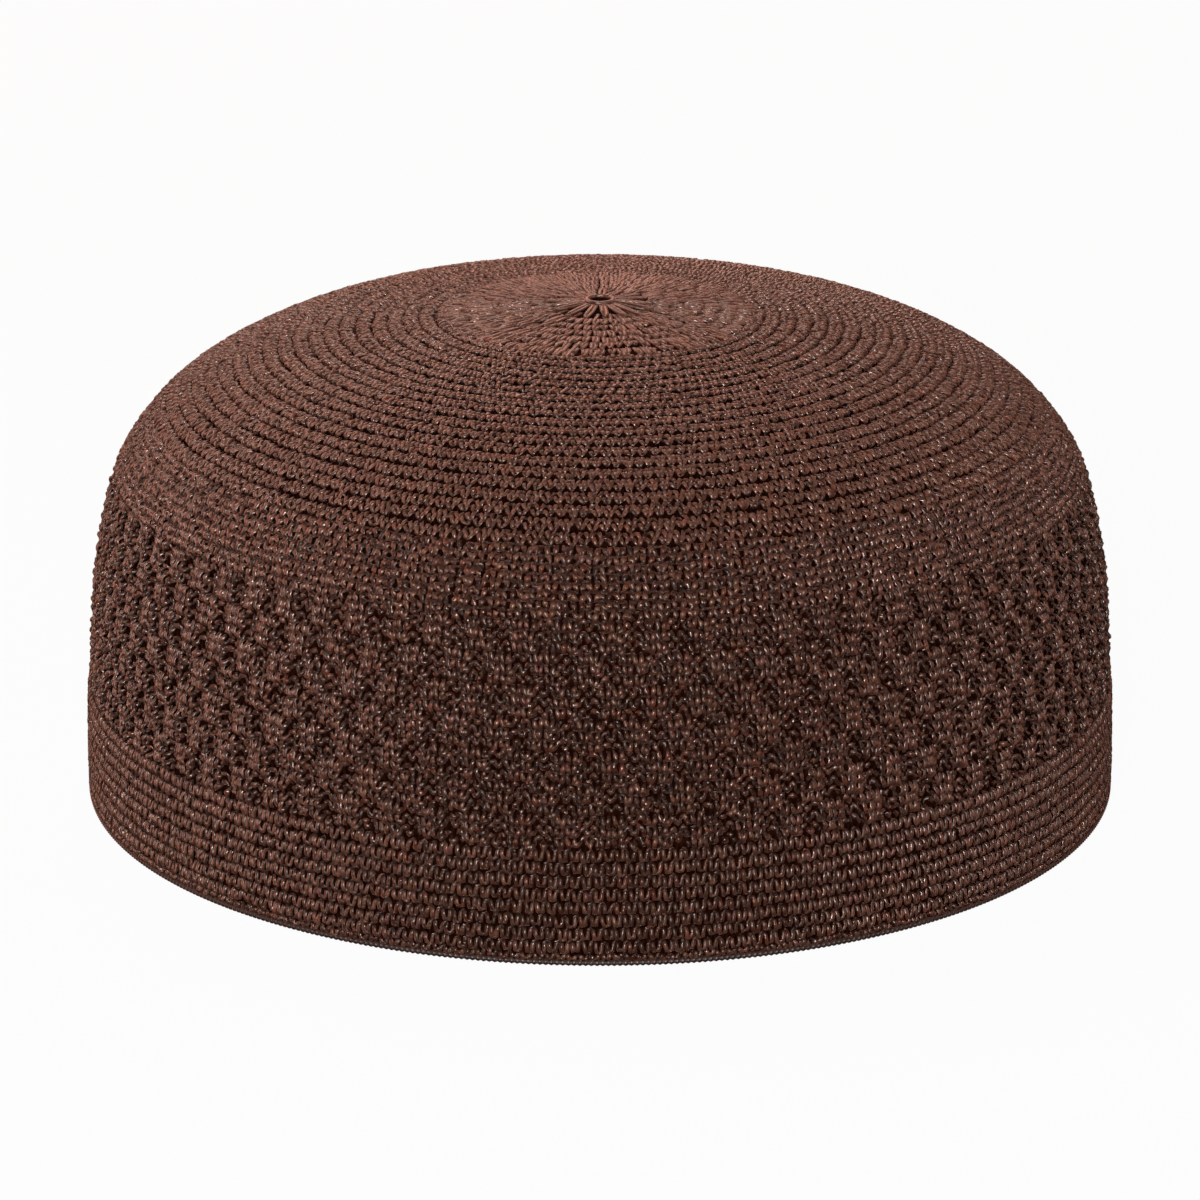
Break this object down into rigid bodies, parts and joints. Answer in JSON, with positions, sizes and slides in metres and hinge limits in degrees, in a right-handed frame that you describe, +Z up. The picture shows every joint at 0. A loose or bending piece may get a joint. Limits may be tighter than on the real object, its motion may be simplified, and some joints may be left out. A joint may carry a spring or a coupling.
{
  "type": "knitted kufi cap",
  "caption": "Round brimless knitted cap with a ribbed rim band, a side of raised blocks, a plain shoulder and a ribbed crown gathered at the centre; hollow and open below for a head.",
  "frame": {"origin": "middle of the underside of the rim, on the surface that the cap stands on", "axes": "+Z up through the centre of the crown; the cap is round, so X and Y are alike, with -Y towards the viewer of the picture"},
  "size_m": [0.186, 0.186, 0.0893],
  "materials": {
    "yarn": "dark brown knitted nylon yarn with a soft sheen"
  },
  "bodies": {
    "root": {"knitted_cap": "yarn"}
  },
  "joints": []
}
